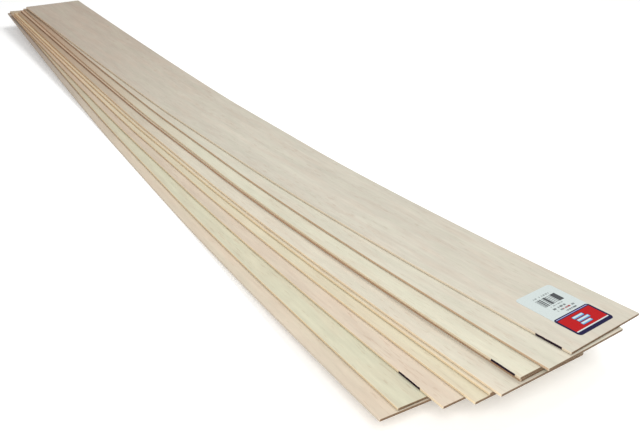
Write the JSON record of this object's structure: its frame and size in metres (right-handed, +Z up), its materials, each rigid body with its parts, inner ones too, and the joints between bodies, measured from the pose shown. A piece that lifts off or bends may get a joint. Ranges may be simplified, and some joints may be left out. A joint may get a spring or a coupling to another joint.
{
  "type": "fanned pack of balsa wood sheets",
  "caption": "Long thin balsa modelling sheets fanned about one end, gently bowed up at both ends, with a small paper label near the fanned-out end of the top sheet.",
  "frame": {"origin": "middle of the footprint, on the table", "axes": "+Y along the sheets from the labelled, fanned-out near end to the bowed-up far end, +Z up; positive joint values open the fan towards +X"},
  "size_m": [0.2028, 0.9446, 0.0371],
  "materials": {
    "balsa": "raw, sanded, matt",
    "label_paper": "coated paper, satin"
  },
  "bodies": {
    "sheet_01": {"balsa_sheet_01": "balsa"},
    "sheet_02": {"balsa_sheet_02": "balsa"},
    "sheet_03": {"balsa_sheet_03": "balsa"},
    "sheet_04": {"balsa_sheet_04": "balsa"},
    "sheet_05": {"balsa_sheet_05": "balsa"},
    "sheet_06": {"balsa_sheet_06": "balsa"},
    "sheet_07": {"balsa_sheet_07": "balsa"},
    "sheet_08": {"balsa_sheet_08": "balsa"},
    "sheet_09": {"balsa_sheet_09": "balsa"},
    "sheet_10": {"balsa_sheet_10": "balsa", "stock_label": "label_paper"}
  },
  "joints": [
    {"name": "fan_01_02", "type": "hinge", "parent": "sheet_01", "child": "sheet_02", "pos_m": [-0.0633, 0.4405, 0.00189], "axis": [0, 0, 1], "range_deg": [-0.65, 2.35]},
    {"name": "fan_02_03", "type": "hinge", "parent": "sheet_02", "child": "sheet_03", "pos_m": [-0.0633, 0.4405, 0.00378], "axis": [0, 0, 1], "range_deg": [-1.5, 1.5]},
    {"name": "fan_03_04", "type": "hinge", "parent": "sheet_03", "child": "sheet_04", "pos_m": [-0.0633, 0.4405, 0.00567], "axis": [0, 0, 1], "range_deg": [-0.98, 2.02]},
    {"name": "fan_04_05", "type": "hinge", "parent": "sheet_04", "child": "sheet_05", "pos_m": [-0.0633, 0.4405, 0.00756], "axis": [0, 0, 1], "range_deg": [-0.67, 2.33]},
    {"name": "fan_05_06", "type": "hinge", "parent": "sheet_05", "child": "sheet_06", "pos_m": [-0.0633, 0.4405, 0.00945], "axis": [0, 0, 1], "range_deg": [-0.25, 3.03]},
    {"name": "fan_06_07", "type": "hinge", "parent": "sheet_06", "child": "sheet_07", "pos_m": [-0.0633, 0.4405, 0.01134], "axis": [0, 0, 1], "range_deg": [-0.88, 2.12]},
    {"name": "fan_07_08", "type": "hinge", "parent": "sheet_07", "child": "sheet_08", "pos_m": [-0.0633, 0.4405, 0.01323], "axis": [0, 0, 1], "range_deg": [-0.25, 3.31]},
    {"name": "fan_08_09", "type": "hinge", "parent": "sheet_08", "child": "sheet_09", "pos_m": [-0.0633, 0.4405, 0.01512], "axis": [0, 0, 1], "range_deg": [-0.9, 2.1]},
    {"name": "fan_09_10", "type": "hinge", "parent": "sheet_09", "child": "sheet_10", "pos_m": [-0.0633, 0.4405, 0.01701], "axis": [0, 0, 1], "range_deg": [-1.53, 1.47]}
  ]
}
